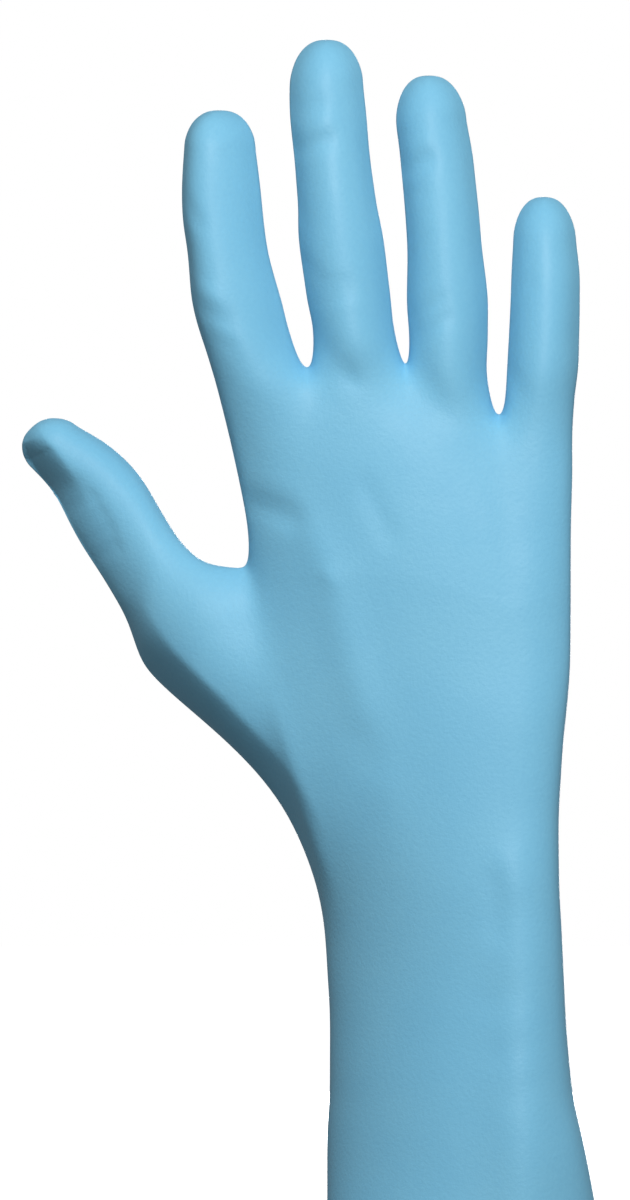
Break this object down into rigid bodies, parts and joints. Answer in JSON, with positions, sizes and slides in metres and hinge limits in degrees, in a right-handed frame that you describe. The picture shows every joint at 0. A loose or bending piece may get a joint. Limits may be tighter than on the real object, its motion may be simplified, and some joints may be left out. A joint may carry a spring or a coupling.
{
  "type": "nitrile exam glove",
  "caption": "Thin long-cuff exam glove with a rolled bead at the cuff, in the open form of a worn right hand with the fingers up.",
  "frame": {"origin": "middle of the cuff's mouth, at the outer end of the rolled bead, where the hand goes in", "axes": "+Z along the forearm towards the fingertips, +X towards the little finger, -Y is the back of the hand and +Y the palm"},
  "size_m": [0.1417, 0.0593, 0.3002],
  "materials": {
    "nitrile": "smooth satin light blue nitrile film"
  },
  "bodies": {
    "root": {"glove_film": "nitrile"}
  },
  "joints": []
}
